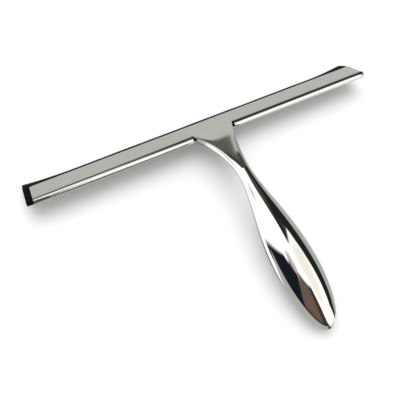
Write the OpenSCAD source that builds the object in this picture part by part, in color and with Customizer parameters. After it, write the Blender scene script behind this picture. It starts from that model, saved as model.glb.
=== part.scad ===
// Window cleaning squeegee: a folded channel bar with a sliding rubber strip,
// clamped under the flared head of a hollow, teardrop-shaped handle.
// X runs along the bar, +Y towards the wiping edge, the handle along -Y, +Z up.
// It lies on its wiping edge and on the belly of the handle, both at Z = 0.

/* [Channel bar] */
// Length of the folded metal channel
channel_len = 245; // [180:1:350]
// Sheet thickness of the channel
sheet_t = 0.8; // [0.6:0.05:1.0]
// Depth of the channel's top plate, from the bead's centre to its front edge
plate_depth = 15.3; // [14.5:0.05:17]
// Angle at which the plate falls towards the wiping edge
plate_tilt = 26.2; // [24:0.1:28]
// Outer radius of the rolled bead along the back of the channel
bead_r = 2.4; // [2.3:0.05:2.6]
// Radius of the rounded front corners of the plate
corner_r = 1.5; // [0.5:0.1:3]

/* [Rubber strip] */
// Length of the rubber strip
strip_len = 250; // [200:1:360]
// How far the strip sits off centre in the channel at rest
strip_shift = -2; // [-8:0.5:8]
// Thickness of the strip's web inside the channel
web_t = 1.3; // [1.0:0.05:1.4]
// Thickness of the lip at its wiping edge
lip_tip_t = 1.0; // [0.7:0.05:1.2]
// How far the ends of the lip splay outwards
lip_flare = 2.4; // [0:0.1:3]

/* [Handle] */
// Half width of the head where it meets the bead
head_half = 15.2; // [14:0.1:17]
// Half width and half height of the neck
neck_r = 4.4; // [4:0.1:6]
// Half width of the belly
belly_r = 13; // [11:0.1:15]
// Half height of the belly
belly_h = 11.6; // [10:0.1:13]
// Distance from the bead to the widest part of the belly
belly_at = 108; // [100:1:115]
// Distance from the bead to the rounded tip
tip_at = 145.4; // [135:0.1:155]
// Wall thickness of the two shells
wall_t = 1.2; // [0.8:0.1:1.6]

/* [Clamp] */
// Thickness of the jaw under the channel
jaw_t = 2.4; // [2:0.1:3]
// Nominal radius of the two clamp screws
screw_r = 1.5; // [1.25:0.25:1.75]
// Distance of each screw from the middle of the bar
screw_x = 6.5; // [5:0.1:8]

/* [Hidden] */
$fn = 64;

// bead centre, behind and above the wiping edge
bead_y = -1.9;
bead_z = 14.4;
// clearance between faces that lie on each other
seat_gap = 0.02;
// plate and flange, measured square to the plate from the bead's centre
plate_top = bead_r - 0.45;
slot_top = plate_top - sheet_t;
slot_low = slot_top - 1.6;
flange_low = slot_low - sheet_t;
flange_depth = plate_depth - 1;
fold_u = 1.35;
// the bead is cut away under the head
notch_half = head_half + 0.15;

// rubber strip
bulb_r = bead_r - sheet_t - 0.15;
web_mid = (slot_top + slot_low) / 2;
lip_start_u = plate_depth - 0.6;
lip_arc_r = 17;
flare_from = 88;
strip_end = strip_len / 2;
tunnel_r = bulb_r + 0.3;
// the lip's arc: where it starts, its centre, and the angle at which it meets the ground
lip_y = bead_y + lip_start_u * cos(plate_tilt) + web_mid * sin(plate_tilt);
lip_z = bead_z - lip_start_u * sin(plate_tilt) + web_mid * cos(plate_tilt);
arc_y = lip_y - lip_arc_r * sin(plate_tilt);
arc_z = lip_z - lip_arc_r * cos(plate_tilt);
lip_end = asin(-arc_z / (lip_arc_r - lip_tip_t / 2));
lip_reach = arc_y + (lip_arc_r + lip_tip_t / 2) * cos(lip_end) + lip_flare;

// clamp
jaw_top = flange_low - 0.07;
jaw_front_u = 10;
jaw_back_u = -7.6;
jaw_corners = [[13.2, jaw_front_u], [13.2, -0.5], [8.2, jaw_back_u]];
screw_u = -4.6;
screw_top = 0.85;
screw_gap = 0.05;
screw_head_r = 2.75;
screw_head_h = 1.6;

// the whole object is moved so that the middle of its box is over the origin
place = [-strip_shift, (tip_at - lip_reach) / 2, 0];
// lengths that reach past everything they cut
wide = 60;
tall = 60;

// handle rails: each is a chain of two cubic curves and a quarter ellipse
neck_at = 42;
rail_d1 = [0, 8, 20, neck_at];
rail_d2 = [neck_at, 60, 80, belly_at];
width_1 = [head_half, 12.6, neck_r + 0.8, neck_r];
width_2 = [neck_r, neck_r, belly_r, belly_r];
height_1 = [1.75, 1.2, neck_r - 0.2, neck_r];
height_2 = [neck_r, neck_r, belly_h, belly_h];
// the axis falls this far from the belly to the tip, and the belly just meets the ground
tip_drop = 6.2;
axis_drop = tip_drop / (tip_at - belly_at);
belly_z = sqrt(pow(belly_h, 2) + pow(tip_drop, 2)) - 0.04;
mid_1 = [14.2, 18.7, 22.2, 23.4];
mid_2 = [23.4, 22.6, belly_z + (belly_at - rail_d2[2]) * axis_drop, belly_z];

function cubic(p, t) =
    pow(1 - t, 3) * p[0] + 3 * pow(1 - t, 2) * t * p[1] + 3 * (1 - t) * t * t * p[2] + pow(t, 3) * p[3];

// one station: [distance behind the bead, half width, half height, middle height, squareness, draft]
function head_station(t) =
    [cubic(rail_d1, t), cubic(width_1, t), cubic(height_1, t), cubic(mid_1, t),
     2 + 9 * pow(1 - t, 1.2), 0.14 * t * (1 - t)];
function bulb_station(t) =
    [cubic(rail_d2, t), cubic(width_2, t), cubic(height_2, t), cubic(mid_2, t), 2, 0];
function tip_station(t) =
    let (d = belly_at + (tip_at - belly_at) * sin(90 * t))
    [d, belly_r * cos(90 * t), belly_h * cos(90 * t), belly_z - axis_drop * (d - belly_at), 2, 0];

head_steps = 12;
bulb_steps = 14;
tip_steps = 10;
stations = concat(
    [for (i = [0:head_steps - 1]) head_station(i / head_steps)],
    [for (i = [0:bulb_steps - 1]) bulb_station(i / bulb_steps)],
    [for (i = [0:tip_steps - 1]) tip_station(i / tip_steps)],
    [tip_station(0.96)]);

ring_n = 40;
function power(v, e) = sign(v) * pow(abs(v), e);
// a ring of the handle's skin, moved inwards by inset
function ring(s, inset) =
    [for (i = [0:ring_n - 1])
        let (a = -360 * (i + 0.5) / ring_n, rise = power(sin(a), 2 / s[4]))
        [max(s[1] - inset, 0.05) * power(cos(a), 2 / s[4]) * (1 - s[5] * (1 + rise)), -s[0],
         s[3] + max(s[2] - inset, 0.05) * rise]];

module skin(rings) {
    n = len(rings[0]);
    last = len(rings) - 1;
    sides = [for (k = [0:last - 1], i = [0:n - 1])
        [k * n + i, k * n + (i + 1) % n, (k + 1) * n + (i + 1) % n, (k + 1) * n + i]];
    caps = [[for (i = [n - 1:-1:0]) i], [for (i = [0:n - 1]) last * n + i]];
    polyhedron(points = [for (r = rings) each r], faces = concat(sides, caps), convexity = 6);
}

module handle_form(inset) {
    kept = [for (s = stations) if (s[0] <= tip_at - inset && s[1] > inset + 0.3) s];
    skin([for (s = kept) ring(s, inset)]);
}

// side view of the join between the two shells, as a slab above or below it
function join_z(s) = s[3] - (0.55 + 0.2 * (s[4] - 2) / 9) * s[2];
module above_join() {
    front = join_z(stations[0]);
    back = join_z(stations[len(stations) - 1]);
    outline = [for (s = stations) [-s[0], join_z(s)]];
    beyond = -tip_at - 5;
    extrude_x(wide)
        polygon(concat([[20, front]], outline, [[beyond, back], [beyond, tall], [20, tall]]));
}

// plate frame: u runs down the plate to the wiping edge, w stands square to it
module at_plate() {
    translate([0, bead_y, bead_z])
        rotate([-plate_tilt, 0, 0])
            children();
}
module extrude_x(len, mid = 0) {
    translate([mid - len / 2, 0, 0])
        rotate([90, 0, 90])
            linear_extrude(len)
                children();
}
module slab(u, w, len, mid = 0) {
    translate([mid - len / 2, u[0], w[0]])
        cube([len, u[1] - u[0], w[1] - w[0]]);
}

// space that the strip and the channel need inside the head
module strip_tunnel() {
    at_plate() {
        slab([fold_u - 0.15, 30], [-12, plate_top + seat_gap], wide);
        extrude_x(wide)
            circle(tunnel_r);
    }
}

module channel_section() {
    difference() {
        circle(bead_r);
        circle(bead_r - sheet_t);
        translate([0, slot_low])
            square([bead_r + 1, slot_top - slot_low]);
    }
    translate([1.1, slot_top])
        square([plate_depth - 1.1, sheet_t]);
    translate([1.5, flange_low])
        square([flange_depth - 1.5, sheet_t]);
}

module blade_channel() {
    color("silver")
        translate(place)
            at_plate()
                difference() {
                    extrude_x(channel_len)
                        channel_section();
                    slab([-5, fold_u], [0, 5], 2 * notch_half);
                    slab([-5, bead_r], [-5, seat_gap], 2 * notch_half);
                    for (side = [-1, 1])
                        translate([side * channel_len / 2, plate_depth, -5])
                            difference() {
                                translate([-corner_r, -corner_r, 0])
                                    cube([2 * corner_r, 2 * corner_r, 10]);
                                translate([-side * corner_r, -corner_r, -1])
                                    cylinder(h = 12, r = corner_r);
                                translate([side > 0 ? -2 * corner_r : corner_r, -corner_r, -1])
                                    cube([corner_r, 2 * corner_r, 12]);
                            }
                }
}

// the lip bends down from the slot on an arc, thinner towards its edge
lip_steps = 8;
function lip_point(t, side, splay) =
    let (a = 90 - plate_tilt + 0.6 + (lip_end - 90 + plate_tilt - 0.6) * t,
         r = lip_arc_r + side * (web_t + (lip_tip_t - web_t) * t) / 2)
    [arc_y + r * cos(a) + splay * t * t, arc_z + r * sin(a)];
function lip_ring(x) =
    let (over = max(0, abs(x) - flare_from) / (strip_end - flare_from), splay = lip_flare * over * over)
    concat([for (i = [0:lip_steps]) let (p = lip_point(i / lip_steps, 1, splay)) [x, p[0], p[1]]],
           [for (i = [lip_steps:-1:0]) let (p = lip_point(i / lip_steps, -1, splay)) [x, p[0], p[1]]]);
flare_steps = 6;
flare_x = [for (i = [0:flare_steps]) flare_from + (strip_end - flare_from) * i / flare_steps];

module rubber_blade() {
    color("dimgray")
        translate(place + [strip_shift, 0, 0]) {
            at_plate()
                extrude_x(strip_len) {
                    circle(bulb_r);
                    translate([0, web_mid - web_t / 2])
                        square([lip_start_u, web_t]);
                }
            skin([for (x = concat([for (i = [flare_steps:-1:0]) -flare_x[i]], flare_x)) lip_ring(x)]);
        }
}

module shells() {
    difference() {
        handle_form(0);
        handle_form(wall_t);
        head_opening(wall_t + opening_lip);
        strip_tunnel();
    }
}

// the underside of the head is open between its side walls, for the block and the jaw
plan_steps = 8;
opening_t = 0.4;
opening_lip = 0.3;
module head_plan(inset, t_end) {
    half = [for (i = [0:plan_steps])
        let (s = head_station(t_end * i / plan_steps))
        [s[1] - inset, -s[0]]];
    back = [for (i = [plan_steps:-1:0]) [-half[i][0], half[i][1]]];
    polygon(concat([[half[0][0], 1]], half, back, [[-half[0][0], 1]]));
}
module head_opening(inset) {
    side = [for (i = [0:plan_steps])
        let (s = head_station(opening_t * i / plan_steps))
        [-s[0], s[3]]];
    intersection() {
        linear_extrude(tall)
            head_plan(inset, opening_t);
        extrude_x(wide)
            polygon(concat([[2, 5], [2, side[0][1]]], side, [[side[plan_steps][0], 5]]));
    }
}

// thin tongue of the head that lies on the plate, with a bevelled front
tongue_front_u = 8.2;
tongue_t = 0.27;
module tongue() {
    at_plate()
        extrude_x(2 * head_half - 0.3)
            polygon([[-0.4, plate_top + seat_gap], [tongue_front_u, plate_top + seat_gap],
                     [tongue_front_u, plate_top + tongue_t / 3],
                     [tongue_front_u - 2 * tongue_t, plate_top + tongue_t], [-0.4, plate_top + tongue_t]]);
}

module handle_upper_shell() {
    color("gainsboro")
        translate(place) {
            intersection() {
                shells();
                above_join();
            }
            tongue();
        }
}

lower_from = 12;
module handle_lower_shell() {
    color("lightgray")
        translate(place)
            difference() {
                shells();
                above_join();
                translate([-wide / 2, -lower_from, 0])
                    cube([wide, wide, tall]);
            }
}

// solid core of the head, with a tang that runs back through the neck
block_gap = 0.06;
block_back = 20;
tang_r = 1.6;
tang_from = [0, -18, 20.7];
tang_len = 34;
tang_rise = 3.7;
module head_block() {
    color("darkgray")
        translate(place)
            difference() {
                union() {
                    intersection() {
                        union() {
                            handle_form(wall_t + block_gap);
                            head_opening(wall_t + opening_lip + block_gap);
                        }
                        translate([-wide / 2, -block_back, 0])
                            cube([wide, block_back + 5, tall]);
                        at_plate()
                            slab([-wide, 0.2], [flange_low - seat_gap, 20], wide);
                    }
                    translate(tang_from)
                        rotate([90 - tang_rise, 0, 0])
                            cylinder(h = tang_len, r = tang_r);
                }
                strip_tunnel();
                for (side = [-1, 1])
                    at_plate()
                        translate([side * screw_x, screw_u, -6])
                            cylinder(h = 20, r = screw_r + screw_gap);
            }
}

module clamp_jaw() {
    color("darkgray")
        translate(place)
            at_plate()
                difference() {
                    translate([0, 0, jaw_top - jaw_t])
                        linear_extrude(jaw_t)
                            polygon([for (p = jaw_corners) p, for (i = [len(jaw_corners) - 1:-1:0])
                                [-jaw_corners[i][0], jaw_corners[i][1]]]);
                    extrude_x(wide)
                        circle(tunnel_r);
                    for (side = [-1, 1])
                        translate([side * screw_x, screw_u, jaw_top - jaw_t])
                            screw_hole();
                }
}

module screw_hole() {
    translate([0, 0, -1])
        cylinder(h = jaw_t + 2, r = screw_r + 0.1);
    translate([0, 0, -0.01])
        cylinder(h = screw_head_h, r1 = screw_head_r + 0.1, r2 = screw_r + 0.1);
}

module screw() {
    difference() {
        union() {
            cylinder(h = screw_head_h - 0.1, r1 = screw_head_r, r2 = screw_r);
            cylinder(h = screw_top - jaw_top + jaw_t, r = screw_r);
        }
        for (turn = [0, 90])
            rotate(turn)
                translate([-1.6, -0.3, -1])
                    cube([3.2, 0.6, 1.9]);
    }
}

module clamp_screws() {
    color("silver")
        translate(place)
            at_plate()
                for (side = [-1, 1])
                    translate([side * screw_x, screw_u, jaw_top - jaw_t])
                        screw();
}

blade_channel();
rubber_blade();
handle_upper_shell();
handle_lower_shell();
head_block();
clamp_jaw();
clamp_screws();
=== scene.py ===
import math

import bmesh
import bpy
import numpy as np
from mathutils import Matrix, Vector


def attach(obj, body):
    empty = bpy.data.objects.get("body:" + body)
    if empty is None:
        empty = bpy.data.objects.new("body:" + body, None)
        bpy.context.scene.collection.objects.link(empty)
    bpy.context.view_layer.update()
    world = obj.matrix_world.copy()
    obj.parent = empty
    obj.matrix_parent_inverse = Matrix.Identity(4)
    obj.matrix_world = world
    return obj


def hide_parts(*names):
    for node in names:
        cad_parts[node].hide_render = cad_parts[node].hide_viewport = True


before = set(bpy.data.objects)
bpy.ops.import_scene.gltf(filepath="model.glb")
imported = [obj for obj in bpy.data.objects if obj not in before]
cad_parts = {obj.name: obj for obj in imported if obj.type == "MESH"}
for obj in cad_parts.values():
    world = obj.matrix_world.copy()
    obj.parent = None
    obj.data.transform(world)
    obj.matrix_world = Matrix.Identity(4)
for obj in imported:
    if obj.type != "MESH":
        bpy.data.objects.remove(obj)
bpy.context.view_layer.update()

# ---------------------------------------------------------------- sizes, in millimetres
MM = 0.001
# from the design's own axes to the row frame
PLACE = np.array([2.0, 61.614, 0.0])

TILT = math.radians(26.2)
BEAD_Y, BEAD_Z = -1.9, 14.4
BEAD_R = 2.4
SHEET = 0.8
PLATE_TOP = 1.95
SLOT_TOP, SLOT_LOW = 1.15, -0.45
FLANGE_LOW = -1.25
PLATE_END, FLANGE_END = 15.3, 14.3
CHANNEL_HALF = 122.5
NOTCH_HALF = 15.35
FOLD_U = 1.35

WALL = 1.2
BELLY_AT, TIP_AT, BELLY_R, BELLY_H = 108.0, 145.4, 13.0, 11.6
TIP_DROP = 6.2
AXIS_DROP = TIP_DROP / (TIP_AT - BELLY_AT)
BELLY_Z = math.hypot(BELLY_H, TIP_DROP)
LOWER_FROM = 12.0
TONGUE_U, TONGUE_T = 8.2, 0.25


def cubic(p, t):
    """A cubic curve through four control values."""
    return ((1 - t) ** 3 * p[0] + 3 * (1 - t) ** 2 * t * p[1]
            + 3 * (1 - t) * t * t * p[2] + t**3 * p[3])


def plate_point(u, w):
    """(y, z) of a point u down the plate and w square to it."""
    return (BEAD_Y + u * math.cos(TILT) + w * math.sin(TILT),
            BEAD_Z - u * math.sin(TILT) + w * math.cos(TILT))


# ---------------------------------------------------------------- mesh helpers
def mesh_object(name, verts, faces, sharp=35.0):
    """A closed mesh from points in design millimetres, merged, smoothed, in the row frame."""
    points = (np.asarray(verts, float) + PLACE) * MM
    mesh = bpy.data.meshes.new(name)
    mesh.from_pydata([tuple(p) for p in points], [], faces)
    bm = bmesh.new()
    bm.from_mesh(mesh)
    bmesh.ops.remove_doubles(bm, verts=bm.verts, dist=2e-6)
    bmesh.ops.recalc_face_normals(bm, faces=bm.faces)
    bm.to_mesh(mesh)
    bm.free()
    mesh.shade_smooth()
    mesh.set_sharp_from_angle(angle=math.radians(sharp))
    obj = bpy.data.objects.new(name, mesh)
    bpy.context.scene.collection.objects.link(obj)
    return obj


def arc(cu, cw, r, a0, a1, n):
    return [(cu + r * math.cos(math.radians(a0 + (a1 - a0) * i / n)),
             cw + r * math.sin(math.radians(a0 + (a1 - a0) * i / n))) for i in range(n + 1)]


def sweep_x(name, sections, xs, sharp=35.0):
    """Closed outlines in plate axes, one for each x, joined and capped."""
    m = len(sections[0])
    verts = []
    for x, outline in zip(xs, sections):
        for u, w in outline:
            y, z = plate_point(u, w)
            verts.append((x, y, z))
    faces = []
    for k in range(len(xs) - 1):
        for i in range(m):
            j = (i + 1) % m
            faces.append((k * m + i, k * m + j, (k + 1) * m + j, (k + 1) * m + i))
    faces.append(tuple(range(m)))
    faces.append(tuple(range((len(xs) - 1) * m, len(xs) * m)))
    return mesh_object(name, verts, faces, sharp)


def baked(obj):
    """Applies every modifier of an object to its mesh."""
    graph = bpy.context.evaluated_depsgraph_get()
    made = bpy.data.meshes.new_from_object(obj.evaluated_get(graph))
    obj.modifiers.clear()
    obj.data = made
    return obj


# ---------------------------------------------------------------- materials
class Nodes:
    """A small helper to lay down shader nodes."""

    def __init__(self, tree):
        self.tree = tree
        tree.nodes.clear()

    def new(self, kind, **values):
        n = self.tree.nodes.new(kind)
        for k, v in values.items():
            setattr(n, k, v)
        return n

    def link(self, a, b):
        self.tree.links.new(a, b)

    def put(self, socket, value):
        if isinstance(value, bpy.types.NodeSocket):
            self.link(value, socket)
        else:
            socket.default_value = value

    def math(self, op, a, b=None, c=None):
        n = self.new("ShaderNodeMath", operation=op)
        for i, v in enumerate((a, b, c)):
            if v is not None:
                self.put(n.inputs[i], v)
        return n.outputs[0]

    def ramp(self, value, low, high, to_low=0.0, to_high=1.0, kind="SMOOTHSTEP"):
        n = self.new("ShaderNodeMapRange", interpolation_type=kind)
        self.put(n.inputs["Value"], value)
        for key, v in (("From Min", low), ("From Max", high),
                       ("To Min", to_low), ("To Max", to_high)):
            n.inputs[key].default_value = v
        return n.outputs["Result"]

    def mix(self, factor, a, b):
        n = self.new("ShaderNodeMix", data_type="RGBA")
        self.put(n.inputs["Factor"], factor)
        self.put(n.inputs[6], a)
        self.put(n.inputs[7], b)
        return n.outputs[2]

    def coords(self, scale=(1, 1, 1)):
        tc = self.new("ShaderNodeTexCoord")
        mp = self.new("ShaderNodeMapping")
        mp.inputs["Scale"].default_value = scale
        self.link(tc.outputs["Object"], mp.inputs["Vector"])
        return mp.outputs["Vector"]

    def noise(self, vector, scale, detail=3.0, rough=0.55):
        n = self.new("ShaderNodeTexNoise")
        self.link(vector, n.inputs["Vector"])
        n.inputs["Scale"].default_value = scale
        n.inputs["Detail"].default_value = detail
        n.inputs["Roughness"].default_value = rough
        return n.outputs["Fac"]

    def bump(self, height, strength, distance, normal=None):
        n = self.new("ShaderNodeBump")
        n.inputs["Strength"].default_value = strength
        n.inputs["Distance"].default_value = distance
        self.link(height, n.inputs["Height"])
        if normal is not None:
            self.link(normal, n.inputs["Normal"])
        return n.outputs["Normal"]

    def surface(self, colour, roughness, normal=None, metallic=0.0, **fixed):
        p = self.new("ShaderNodeBsdfPrincipled")
        self.put(p.inputs["Base Color"], colour)
        self.put(p.inputs["Roughness"], roughness)
        p.inputs["Metallic"].default_value = metallic
        for k, v in fixed.items():
            p.inputs[k.replace("_", " ")].default_value = v
        if normal is not None:
            self.link(normal, p.inputs["Normal"])
        out = self.new("ShaderNodeOutputMaterial")
        self.link(p.outputs[0], out.inputs["Surface"])
        return p


def material(name):
    m = bpy.data.materials.new(name)
    m.use_nodes = True
    return m, Nodes(m.node_tree)


def polished_metal(name, bright, dull, rough_low, rough_high, wave):
    """Buffed mirror metal: faint cloudy smears, hairline marks and a very slight waviness."""
    m, n = material(name)
    even = n.coords()
    smear = n.noise(even, 55.0, 4.0, 0.6)
    hair = n.noise(n.coords((260.0, 22.0, 260.0)), 9.0, 2.0, 0.5)
    colour = n.mix(n.ramp(smear, 0.35, 0.7), bright, dull)
    rough = n.ramp(n.math("ADD", n.math("MULTIPLY", smear, 0.6), n.math("MULTIPLY", hair, 0.4)),
                   0.35, 0.7, rough_low, rough_high)
    swell = n.bump(n.noise(even, 38.0, 1.0, 0.4), wave, 0.0006)
    n.surface(colour, rough, n.bump(hair, 0.03, 0.00002, swell), metallic=1.0)
    return m


# The painted shade in the crease, a dark colour standing in for the crease's shadow: where it fades
# in behind and out in front of the bead's centre, how far above that centre it rises to full
# strength, and its strength at two places along the bar.
CREASE_BACK, CREASE_FRONT = (-1.3, -0.5), (0.6, 3.2)
CREASE_RISE = (0.4, 1.0)
CREASE_ENDS = (-70, 0.2), (10, 0.93)
CREASE_SHADE_PAINT = (0.02, 0.02, 0.018, 1)


def brushed_metal(name, bright, dull, rough_low, rough_high, grain):
    """Satin sheet: fine grain along the bar, faint wiped marks and painted shade along the crease
    by the bead.
    """
    m, n = material(name)
    streak = n.noise(n.coords((6.0, 500.0, 500.0)), 4.0, 3.0, 0.6)
    cloud = n.noise(n.coords(), 30.0, 3.0, 0.5)
    both = n.math("ADD", n.math("MULTIPLY", streak, 0.65), n.math("MULTIPLY", cloud, 0.35))
    colour = n.mix(n.ramp(both, 0.3, 0.7), bright, dull)
    # painted shade: a dark colour along the crease in front of the bead, standing in for its
    # shadow, heavier towards one end of the bar
    split = n.new("ShaderNodeSeparateXYZ")
    n.link(n.coords(), split.inputs[0])
    x, y, z = split.outputs
    crease_y = (BEAD_Y + PLACE[1]) * MM
    (back_out, back_in), (front_in, front_out) = CREASE_BACK, CREASE_FRONT
    band = n.math("MULTIPLY", n.ramp(y, crease_y + back_out * MM, crease_y + back_in * MM),
                  n.ramp(y, crease_y + front_in * MM, crease_y + front_out * MM, 1.0, 0.0))
    low, high = CREASE_RISE
    band = n.math("MULTIPLY", band, n.ramp(z, (BEAD_Z + low) * MM, (BEAD_Z + high) * MM))
    (x_from, faint), (x_to, heavy) = CREASE_ENDS
    painted_shade = n.math("MULTIPLY", band, n.ramp(x, x_from * MM, x_to * MM, faint, heavy))
    colour = n.mix(painted_shade, colour, CREASE_SHADE_PAINT)
    n.surface(colour, n.ramp(both, 0.3, 0.7, rough_low, rough_high),
              n.bump(streak, grain, 0.00003), metallic=1.0)
    return m


def rubber_material():
    """Dull black rubber with a fine grain, drag marks along it and a little dust."""
    m, n = material("wiper_rubber")
    fine = n.noise(n.coords(), 2600.0, 3.0, 0.6)
    drag = n.noise(n.coords((14.0, 500.0, 500.0)), 3.0, 3.0, 0.6)
    dust = n.ramp(n.noise(n.coords(), 90.0, 4.0, 0.65), 0.5, 0.8)
    colour = n.mix(n.math("MULTIPLY", dust, 0.35),
                   (0.004, 0.004, 0.004, 1), (0.014, 0.014, 0.0135, 1))
    n.surface(colour, n.ramp(drag, 0.3, 0.7, 0.66, 0.82),
              n.bump(fine, 0.12, 0.00003, n.bump(drag, 0.15, 0.00005)), Specular_IOR_Level=0.05)
    return m


def cast_material():
    """Matt cast metal with a coarse grain and faint patches."""
    m, n = material("cast_metal")
    grain = n.noise(n.coords(), 1500.0, 5.0, 0.65)
    patch = n.noise(n.coords(), 160.0, 3.0, 0.5)
    colour = n.mix(n.ramp(patch, 0.35, 0.7), (0.46, 0.46, 0.45, 1), (0.33, 0.33, 0.33, 1))
    n.surface(colour, n.ramp(grain, 0.3, 0.7, 0.38, 0.6),
              n.bump(grain, 0.35, 0.00006), metallic=1.0)
    return m


def turned_material():
    """Screw steel with fine turning marks."""
    m, n = material("turned_steel")
    rings = n.noise(n.coords((700.0, 700.0, 5000.0)), 1.0, 2.0, 0.5)
    patch = n.noise(n.coords(), 240.0, 3.0, 0.5)
    colour = n.mix(n.ramp(patch, 0.3, 0.7), (0.66, 0.66, 0.64, 1), (0.52, 0.52, 0.5, 1))
    n.surface(colour, n.ramp(rings, 0.3, 0.7, 0.2, 0.36),
              n.bump(rings, 0.2, 0.00003), metallic=1.0)
    return m


SHELL = polished_metal("polished_shell", (0.66, 0.66, 0.645, 1), (0.62, 0.62, 0.61, 1),
                       0.025, 0.055, 0.05)
PLATE = brushed_metal("plate_steel", (0.65, 0.65, 0.635, 1), (0.62, 0.62, 0.605, 1),
                      0.14, 0.19, 0.015)
RUBBER = rubber_material()
CAST = cast_material()
SCREW = turned_material()

# ---------------------------------------------------------------- the handle's sections
TOP_N, CORNER_N, SIDE_N = 26, 24, 14
HEAD_N, BULB_N, TIP_N = 96, 90, 48
FLAT = math.radians(10.0)


def corner_point(a, b, n, psi):
    """The point of a superellipse quadrant whose outward normal leans psi away from upright."""
    q = (math.tan(psi) * a / b) ** (1.0 / (n - 1.0))
    z = (1.0 + q**n) ** (-1.0 / n)
    return a * q * z, b * z


def lean(a, b, n, z):
    """The lean of the outward normal at height z of the quadrant."""
    x = (1.0 - (z / b) ** n) ** (1.0 / n)
    return math.atan((b / a) * (x / (z / b)) ** (n - 1.0))


def roof(a, b, n, low, offset=0.0):
    """Half of an upper section, from the middle of the top out to height -low, as (x, z)."""
    xt, _ = corner_point(a, b, n, FLAT)
    pts = [(xt * i / TOP_N, b * (1.0 - (xt * i / TOP_N / a) ** n) ** (1.0 / n))
           for i in range(TOP_N)]
    steep = math.pi / 2 - FLAT
    pts += [corner_point(a, b, n, FLAT + (steep - FLAT) * i / CORNER_N) for i in range(CORNER_N)]
    _, zs = corner_point(a, b, n, steep)
    for i in range(SIDE_N + 1):
        z = zs + (-low - zs) * i / SIDE_N
        if z >= 0:
            pts.append((a * (1.0 - (z / b) ** n) ** (1.0 / n), z))
        else:
            full_a, full_b = a + offset, b + offset
            pts.append((full_a * (1.0 - (-z / full_b) ** n) ** (1.0 / n) - offset, z))
    return pts


def keel(a, b, n, low):
    """Half of a lower section, from height -low down to the middle of the bottom, as (x, z)."""
    low = min(low, KEEL_LIMIT * b)
    start = lean(a, b, n, low)
    pts = [corner_point(a, b, n, start + (FLAT - start) * i / CORNER_N) for i in range(CORNER_N)]
    xt, _ = corner_point(a, b, n, FLAT)
    pts += [(xt * (1 - i / TOP_N), b * (1.0 - (xt * (1 - i / TOP_N) / a) ** n) ** (1.0 / n))
            for i in range(TOP_N + 1)]
    return [(x, -z) for x, z in pts]


def drafted(outline, b, draft):
    """The same outline, narrower towards its top."""
    return [(x * (1.0 - draft * max(1.0 + z / b, 0.0)), z) for x, z in outline]


def mirrored(half, first_is_middle):
    """A half outline from right to left across the middle."""
    if first_is_middle:
        return half[::-1] + [(-x, z) for x, z in half[1:]]
    return half + [(-x, z) for x, z in half[::-1][1:]]


# A station is (distance behind the bead, half width, half height, height of its middle,
# superellipse power, draft).
def squareness(t):
    """The superellipse power, from nearly square at the bead to round at the neck."""
    return 2.0 + 9.0 * (1.0 - t) ** 1.2


def head_station(t):
    return (cubic([0, 8, 20, 42], t), cubic([15.2, 12.6, 5.2, 4.4], t),
            cubic([1.75, 1.2, 4.2, 4.4], t), cubic([14.2, 18.7, 22.2, 23.4], t), squareness(t),
            0.14 * t * (1 - t))


def bulb_station(t):
    return (cubic([42, 60, 80, BELLY_AT], t), cubic([4.4, 4.4, BELLY_R, BELLY_R], t),
            cubic([4.4, 4.4, BELLY_H, BELLY_H], t),
            cubic([23.4, 22.6, BELLY_Z + 28 * AXIS_DROP, BELLY_Z], t), 2.0, 0.0)


def tip_station(t, inset=0.0):
    d = BELLY_AT + (TIP_AT - BELLY_AT - inset) * math.sin(math.pi / 2 * t)
    end = max(math.cos(math.pi / 2 * t), 1e-7)
    return (d, (BELLY_R - inset) * end, (BELLY_H - inset) * end,
            BELLY_Z - AXIS_DROP * (d - BELLY_AT), 2.0, 0.0)


def join_low(s):
    """How far below the middle of a section the two shells meet."""
    return (0.55 + 0.2 * (s[4] - 2.0) / 9.0) * s[2]


def stations(first):
    """Pairs of outer and inner stations from the head to the tip."""
    def pair(s):
        return s, (s[0], s[1] - WALL, max(s[2] - WALL, 0.3), *s[3:])
    head = [head_station(i / HEAD_N) for i in range(HEAD_N)]
    made = [pair(s) for s in head if s[0] >= first]
    made += [pair(bulb_station(i / BULB_N)) for i in range(BULB_N)]
    made += [(tip_station(i / TIP_N), tip_station(i / TIP_N, WALL)) for i in range(TIP_N + 1)]
    return made


def row_at(s, outline):
    """An outline placed at its station, in design axes."""
    return [(x, -s[0], s[3] + z) for x, z in outline]


def shell(name, outer, inner):
    """A closed shell from matching outer and inner rows of points."""
    m = len(outer[0])
    verts = [p for row in outer for p in row] + [p for row in inner for p in row]
    off = len(outer) * m
    faces = []
    for k in range(len(outer) - 1):
        for i in range(m - 1):
            a, b, c, d = k * m + i, k * m + i + 1, (k + 1) * m + i + 1, (k + 1) * m + i
            faces += [(a, b, c, d), (off + d, off + c, off + b, off + a)]
        for i in (0, m - 1):
            a, d = k * m + i, (k + 1) * m + i
            faces.append((a, d, off + d, off + a) if i == 0 else (d, a, off + a, off + d))
    faces += [(i + 1, i, off + i, off + i + 1) for i in range(m - 1)]
    return mesh_object(name, verts, faces)


# half the gap between the shells, and how far their rims are eased
SEAM, RIM_EASE = 0.05, 0.06
# how far from the middle a section's edge may lie, as a part of its half height
ROOF_LIMIT, KEEL_LIMIT = 0.97, 0.96
# the tongue: its half width, its clearance over the plate, and the rim left around its underside
TONGUE_HALF, SEAT, RIM, RIM_GAP = 15.05, 0.02, 1.2, 0.02


def eased(row, drop):
    """Pulls the two rim points of an outer row in a little, for a hairline seam."""
    out = list(row)
    for i in (0, len(row) - 1):
        x, y, z = out[i]
        out[i] = (x - math.copysign(min(drop, abs(x)), x), y, z)
    return out


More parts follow.
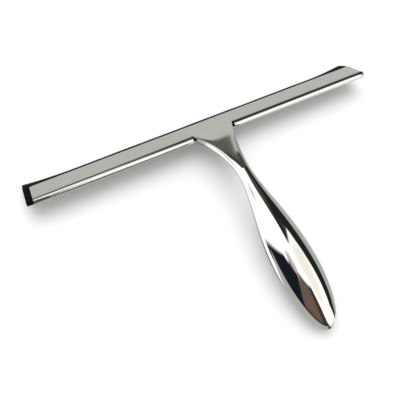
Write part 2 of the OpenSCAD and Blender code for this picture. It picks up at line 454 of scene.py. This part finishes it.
def tongue_rows(y, half):
    """Outer and inner row of the thin tongue that lies on the plate at this y."""
    w = PLATE_TOP + SEAT
    u = (y - BEAD_Y - w * math.sin(TILT)) / math.cos(TILT)
    _, low = plate_point(u, w)
    bevel = min(max((TONGUE_U - u) / (2 * TONGUE_T), 0.0), 1.0)
    thick = TONGUE_T * (1 + 2 * bevel) / 3 / math.cos(TILT)
    lip = min(0.4 * thick, 0.1)
    xt = half - lip
    outer = [(xt * i / TOP_N, low + thick) for i in range(TOP_N)]
    outer += [(xt + lip * math.sin(math.pi / 2 * i / CORNER_N),
               low + thick - lip + lip * math.cos(math.pi / 2 * i / CORNER_N))
              for i in range(CORNER_N)]
    outer += [(half, low + (thick - lip) * (1 - i / SIDE_N)) for i in range(SIDE_N + 1)]
    reach = half - RIM
    inner = [(reach * i / TOP_N, low) for i in range(TOP_N)]
    rest = CORNER_N + SIDE_N
    inner += [(reach + (RIM - RIM_GAP) * i / rest, low) for i in range(rest + 1)]
    return ([(x, y, z) for x, z in mirrored(outer, True)],
            [(x, y, z) for x, z in mirrored(inner, True)])


def upper_shell():
    """The tongue on the plate, the head, and the handle above its seam."""
    outer, inner = [], []
    y_front, _ = plate_point(TONGUE_U, PLATE_TOP + SEAT)
    y_bevel, _ = plate_point(TONGUE_U - 2 * TONGUE_T, PLATE_TOP + SEAT)
    for y in [y_front, y_bevel] + [y_bevel + (0.15 - y_bevel) * i / 10 for i in range(1, 11)]:
        o, n = tongue_rows(y, TONGUE_HALF)
        outer.append(o)
        inner.append(n)
    for s, t in stations(0.3):
        low = join_low(s) - min(SEAM, 0.1 * s[2])
        over = drafted(roof(s[1], s[2], s[4], low), s[2], s[5])
        under = drafted(roof(t[1], t[2], t[4], min(low, ROOF_LIMIT * s[2]), WALL), t[2], t[5])
        outer.append(eased(row_at(s, mirrored(over, True)), RIM_EASE))
        inner.append(row_at(t, mirrored(under, True)))
    return shell("handle_upper", outer, inner)


def lower_shell():
    """The handle below its seam."""
    outer, inner = [], []
    for s, t in stations(LOWER_FROM):
        low = join_low(s) + min(SEAM, 0.1 * s[2])
        over = drafted(keel(s[1], s[2], s[4], low), s[2], s[5])
        under = drafted(keel(t[1], t[2], t[4], low), t[2], t[5])
        outer.append(eased(row_at(s, mirrored(over, False)), RIM_EASE))
        inner.append(row_at(t, mirrored(under, False)))
    return shell("handle_lower", outer, inner)


# ---------------------------------------------------------------- the bar
def channel_outline():
    """The folded sheet's section in plate axes: plate, rolled bead, flange and slot."""
    r = 0.22
    pts = arc(PLATE_END - r, SLOT_TOP + r, r, -90, 0, 4)
    pts += arc(PLATE_END - r, PLATE_TOP - r, r, 0, 90, 4)
    f = 0.45
    cu, cw = math.sqrt((BEAD_R + f) ** 2 - (PLATE_TOP + f) ** 2), PLATE_TOP + f
    top = math.degrees(math.atan2(cw, cu))
    pts += [(PLATE_END - r - (PLATE_END - r - cu) * i / 10, PLATE_TOP) for i in range(1, 10)]
    pts += arc(cu, cw, f, -90, top - 180, 8)
    g = 0.4
    du, dw = math.sqrt((BEAD_R + g) ** 2 - (FLANGE_LOW - g) ** 2), FLANGE_LOW - g
    low = math.degrees(math.atan2(dw, du)) + 360
    pts += arc(0, 0, BEAD_R, top, low, 72)[1:-1]
    pts += arc(du, dw, g, low - 180, 90, 6)
    pts += arc(FLANGE_END - r, FLANGE_LOW + r, r, -90, 0, 4)
    pts += arc(FLANGE_END - r, SLOT_LOW - r, r, 0, 90, 4)
    inside = BEAD_R - SHEET
    a0 = math.degrees(math.asin(SLOT_LOW / inside))
    a1 = math.degrees(math.asin(SLOT_TOP / inside)) - 360
    pts += arc(0, 0, inside, a0, a1, 48)
    return pts


def cutter(name, x, y, z):
    """A box in plate axes, as (low, high) pairs, to be taken away."""
    corners = []
    for a in x:
        for b in y:
            for c in z:
                corners.append((a, *plate_point(b, c)))
    faces = [(0, 1, 3, 2), (4, 6, 7, 5), (0, 4, 5, 1), (2, 3, 7, 6), (0, 2, 6, 4), (1, 5, 7, 3)]
    return mesh_object(name, corners, faces)


def corner_cutter(name, side, r=1.5):
    """What is outside a rounded front corner of the plate."""
    x1, u1 = side * CHANNEL_HALF, PLATE_END
    cx, cu = x1 - side * r, u1 - r
    plan = [(x1 + side * 1.0, u1 + 1.0), (x1 + side * 1.0, cu), (x1, cu)]
    turns = [math.pi / 2 * i / 10 for i in range(1, 11)]
    plan += [(cx + side * r * math.cos(a), cu + r * math.sin(a)) for a in turns]
    plan += [(cx, u1 + 1.0)]
    m = len(plan)
    verts = [(x, *plate_point(u, w)) for w in (-6.0, 6.0) for x, u in plan]
    faces = [tuple(range(m)), tuple(range(m, 2 * m))]
    faces += [(i, (i + 1) % m, m + (i + 1) % m, m + i) for i in range(m)]
    return mesh_object(name, verts, faces)


def soften(obj, width, angle):
    """Rounds the sharp edges a little and smooths the rest."""
    soft = obj.modifiers.new("soft", "BEVEL")
    soft.width, soft.segments, soft.limit_method = width, 2, "ANGLE"
    soft.angle_limit = math.radians(angle)
    baked(obj)
    obj.data.shade_smooth()
    obj.data.set_sharp_from_angle(angle=math.radians(40))
    return obj


def channel():
    """The bar, with the bead cut away under the head and its front corners rounded."""
    xs = [-CHANNEL_HALF + 2 * CHANNEL_HALF * i / 24 for i in range(25)]
    obj = sweep_x("channel_bar", [channel_outline()] * len(xs), xs)
    half = NOTCH_HALF
    tools = [cutter("cut_a", (-half, half), (-5, FOLD_U), (0.0, 5)),
             cutter("cut_b", (-half, half), (-5, BEAD_R), (-5, 0.01)),
             corner_cutter("cut_c", -1), corner_cutter("cut_d", 1)]
    for tool in tools:
        cut = obj.modifiers.new("cut", "BOOLEAN")
        cut.operation, cut.solver, cut.object = "DIFFERENCE", "EXACT", tool
        baked(obj)
        bpy.data.objects.remove(tool)
    return soften(obj, 0.00009, 50)


# ---------------------------------------------------------------- the rubber
LIP_U, LIP_R, LIP_TIP, WEB, WEB_MID = 14.7, 17.0, 1.0, 1.3, 0.35
STRIP_HALF, FLARE_FROM, FLARE, STRIP_SHIFT = 125.0, 88.0, 2.4, -2.0
BULB_R = 1.45


def lip_outline(x):
    """The strip's section at x from its own middle: bulb, web and curved wiping lip."""
    cu, cw = LIP_U, WEB_MID - LIP_R
    _, arc_z = plate_point(cu, cw)
    end = math.asin(-arc_z / (LIP_R - LIP_TIP / 2)) - math.pi / 2 + TILT
    over = max(0.0, abs(x) - FLARE_FROM) / (STRIP_HALF - FLARE_FROM)
    wave = 0.10 * math.sin(x / 9.7 + 0.6) + 0.07 * math.sin(x / 4.3 + 2.0)
    splay = FLARE * over**2 + wave * (1 - over)
    steps = 22

    def lip(t, side):
        a = math.pi / 2 + end * t
        r = LIP_R + side * (WEB + (LIP_TIP - WEB) * t) / 2
        u, w = cu + r * math.cos(a), cw + r * math.sin(a)
        s = splay * t * t
        return u + s * math.cos(TILT), w + s * math.sin(TILT)

    half = WEB / 2
    join = math.degrees(math.asin((WEB_MID + half) / BULB_R))
    root = math.degrees(math.asin((WEB_MID - half) / BULB_R))
    pts = arc(0, 0, BULB_R, join, 360 + root, 30)
    bu = BULB_R * math.cos(math.radians(root))
    tu = BULB_R * math.cos(math.radians(join))
    pts += [(bu + (cu - bu) * i / 6, WEB_MID - half) for i in range(1, 6)]
    low = [lip(i / steps, -1) for i in range(steps + 1)]
    top = [lip(i / steps, 1) for i in range(steps + 1)]
    pts += low
    (u0, w0), (u1, w1) = low[-1], top[-1]
    pts += [(u0 + (u1 - u0) * f, w0 + (w1 - w0) * f) for f in (0.25, 0.5, 0.75)]
    pts += top[::-1]
    pts += [(cu + (tu - cu) * i / 6, WEB_MID + half) for i in range(1, 6)]
    return pts


def rubber():
    """The whole strip, swept through its changing section."""
    xs = [-STRIP_HALF + 2 * STRIP_HALF * i / 200 for i in range(201)]
    sections = [lip_outline(x) for x in xs]
    obj = sweep_x("rubber_strip", sections, [x + STRIP_SHIFT for x in xs], 30.0)
    return soften(obj, 0.00012, 60)


# ---------------------------------------------------------------- make and dress the pieces
def finish_piece(obj, mat, body, node):
    """Dresses a made piece and lets it stand for its CAD node."""
    obj.data.materials.clear()
    obj.data.materials.append(mat)
    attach(obj, body)
    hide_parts(node)


finish_piece(upper_shell(), SHELL, "bar_and_handle", "handle_upper_shell")
finish_piece(lower_shell(), SHELL, "bar_and_handle", "handle_lower_shell")
finish_piece(channel(), PLATE, "bar_and_handle", "blade_channel")
finish_piece(rubber(), RUBBER, "blade", "rubber_blade")
for node, mat in (("head_block", CAST), ("clamp_jaw", CAST), ("clamp_screws", SCREW)):
    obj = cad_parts[node]
    obj.data.materials.clear()
    obj.data.materials.append(mat)

# ---------------------------------------------------------------- floor
bpy.ops.mesh.primitive_plane_add(size=6.0, location=(0, 0, 0))
floor = bpy.context.active_object
floor.name = "floor"
m, n = material("floor_white")
n.surface(n.mix(n.noise(n.coords(), 3.0, 2.0, 0.5),
                (0.93, 0.93, 0.93, 1), (0.95, 0.95, 0.95, 1)), 0.9, Specular_IOR_Level=0.1)
floor.data.materials.append(m)

# ---------------------------------------------------------------- light
sun = bpy.data.lights.new("key", "SUN")
sun.energy = 1.3
sun.angle = math.radians(60)
key = bpy.data.objects.new("key", sun)
bpy.context.scene.collection.objects.link(key)
key_az, key_el = math.radians(12), math.radians(72)
toward = Vector((math.sin(key_az) * math.cos(key_el),
                 math.cos(key_az) * math.cos(key_el), math.sin(key_el)))
key.rotation_mode = "QUATERNION"
key.rotation_quaternion = toward.to_track_quat("Z", "Y")
key.visible_glossy = False
floor.visible_glossy = False

WHITE = (1.7, 1.7, 1.68)
WARM_WHITE = (1.38, 1.33, 1.19)
SOFT_WHITE = (0.85, 0.84, 0.80)
GREY = (0.62, 0.62, 0.59)
PALE_GREY = (0.71, 0.70, 0.67)
DIM_GREY = (0.28, 0.28, 0.265)
OLIVE = (0.155, 0.15, 0.12)
DARK_OLIVE = (0.085, 0.083, 0.066)
BLACK = (0.022, 0.023, 0.02)
NAVY = (0.012, 0.015, 0.024)
BROWN = (0.22, 0.14, 0.11)
UMBER = (0.07, 0.056, 0.045)
CREAM = (0.78, 0.70, 0.62)

# What the metal mirrors, laid one over the other on white. Each is a colour, the softness of its
# edges in degrees, and the lines it lies inside: a, b, c keeps a * azimuth + b * elevation + c > 0,
# with the azimuth from +Y towards +X.
MIRRORED = [
    # a warmer part of the white ceiling
    (WARM_WHITE, 12.0, [(1, 0, -84), (-1, 0, 160), (0, 1, -44), (0, -1, 84)]),
    # the dark ceiling ahead, lighter low down
    (DARK_OLIVE, 2.0, [(1, 0, 58), (1.08, -1, 95), (0.27, -1, 68),
                       (0, -1, 81), (-1, -0.05, 77), (0, 1, 0)]),
    (OLIVE, 3.0, [(1, 0, 58), (1, -1, 84), (0, -1, 46), (-1, 0, 30), (0, 1, 8)]),
    # the black wall on the right
    (BLACK, 2.5, [(1, 0, -52), (-0.67, -1, 102), (-1, 0, 124), (0, 1, 24)]),
    (BLACK, 9.0, [(1, 0, -40), (0, 1, -62), (0, -1, 81), (-1, -0.05, 76)]),
    # the grey table and wall in front of the plate
    (GREY, 3.0, [(1, -0.2, -19), (-0.55, -1, 53), (-1, 0, 112)]),
    (PALE_GREY, 3.5, [(1, 0, 28), (0, -1, 16), (-1, 0, 60), (0, 1, 28)]),
    (DIM_GREY, 3.0, [(1, 0.5, -51), (-1, 0, 61), (0, -1, 18), (0, 1, 50)]),
    # the low part of the bright wall on the right
    (SOFT_WHITE, 10.0, [(1, 0, -128), (-1, 0, 172), (0, -1, -8)]),
    # the room behind the camera, on both sides of due south
    (UMBER, 3.0, [(0, -1, 68), (-1, 0, -93), (0, 1, 28)]),
    (UMBER, 4.0, [(1, -0.45, -171), (0, 1, 45)]),
    (BROWN, 7.0, [(1, 0, 156), (-1, 0, -101), (0, -1, 66), (0, 1, -6)]),
    (CREAM, 6.0, [(1, 0, 118), (-1, 0, -86), (0, -1, 74), (0, 1, -59)]),
    (NAVY, 2.5, [(1, 0, 113), (-1, -0.25, -73), (-0.4, -1, 15), (0, 1, 26)]),
    # the table on the left and straight below
    (GREY, 5.0, [(-1, 0, -108), (0, -1, -22)]),
    (GREY, 3.0, [(-1, 0.1, -74), (0, -1, -8)]),
    (GREY, 3.0, [(0, -1, -55)]),
    (GREY, 2.5, [(1, 0, 47), (-1, 0, 50), (0, -1, -44)]),
    (DARK_OLIVE, 1.5, [(1, 0, 60), (-1, 0, 40), (0, -1, -66.5), (0, 1, 74)]),
]


def studio():
    """An even white room for the floor, and walls and windows for what the metal mirrors."""
    world = bpy.data.worlds.new("studio")
    world.use_nodes = True
    bpy.context.scene.world = world
    n = Nodes(world.node_tree)
    tc = n.new("ShaderNodeTexCoord")
    split = n.new("ShaderNodeSeparateXYZ")
    n.link(tc.outputs["Generated"], split.inputs[0])
    x, y, z = split.outputs
    deg = 180.0 / math.pi
    az = n.math("MULTIPLY", n.math("ARCTAN2", x, y), deg)
    el = n.math("MULTIPLY", n.math("ARCSINE", z), deg)
    colour = (*WHITE, 1)
    for rgb, soft, lines in MIRRORED:
        inside = 1.0
        for a, b, c in lines:
            side = n.math("MULTIPLY_ADD", az, a, n.math("MULTIPLY_ADD", el, b, c))
            inside = n.math("MULTIPLY", n.ramp(side, -soft, soft), inside)
        colour = n.mix(inside, colour, (*rgb, 1))
    mirror = n.new("ShaderNodeBackground")
    n.put(mirror.inputs["Color"], colour)
    even = n.new("ShaderNodeBackground")
    even.inputs["Color"].default_value = (0.965, 1.0, 0.985, 1)
    even.inputs["Strength"].default_value = 0.8
    path = n.new("ShaderNodeLightPath")
    both = n.new("ShaderNodeMixShader")
    n.link(path.outputs["Is Glossy Ray"], both.inputs[0])
    n.link(even.outputs[0], both.inputs[1])
    n.link(mirror.outputs[0], both.inputs[2])
    out = n.new("ShaderNodeOutputWorld")
    n.link(both.outputs[0], out.inputs["Surface"])


studio()
bpy.context.scene.view_settings.view_transform = "Standard"

# ---------------------------------------------------------------- camera
# where it stands in design axes, in millimetres, and where it looks from
CAMERA_AT = (-100.94, -164.884, 268.93)
cam_az, cam_el, cam_roll = math.radians(-30.10), math.radians(61.31), math.radians(3.96)
back = Vector((math.sin(cam_az) * math.cos(cam_el),
               -math.cos(cam_az) * math.cos(cam_el), math.sin(cam_el)))
right = Vector((0, 0, 1)).cross(back).normalized()
up = back.cross(right)
r2 = math.cos(cam_roll) * right + math.sin(cam_roll) * up
u2 = -math.sin(cam_roll) * right + math.cos(cam_roll) * up
lens = bpy.data.cameras.new("camera")
lens.sensor_width = 36.0
lens.lens = 42.43
lens.clip_start, lens.clip_end = 0.01, 20.0
camera = bpy.data.objects.new("camera", lens)
bpy.context.scene.collection.objects.link(camera)
place = Matrix((r2, u2, back)).transposed().to_4x4()
place.translation = Vector([float(v) * MM for v in np.array(CAMERA_AT) + PLACE])
camera.matrix_world = place
bpy.context.scene.camera = camera
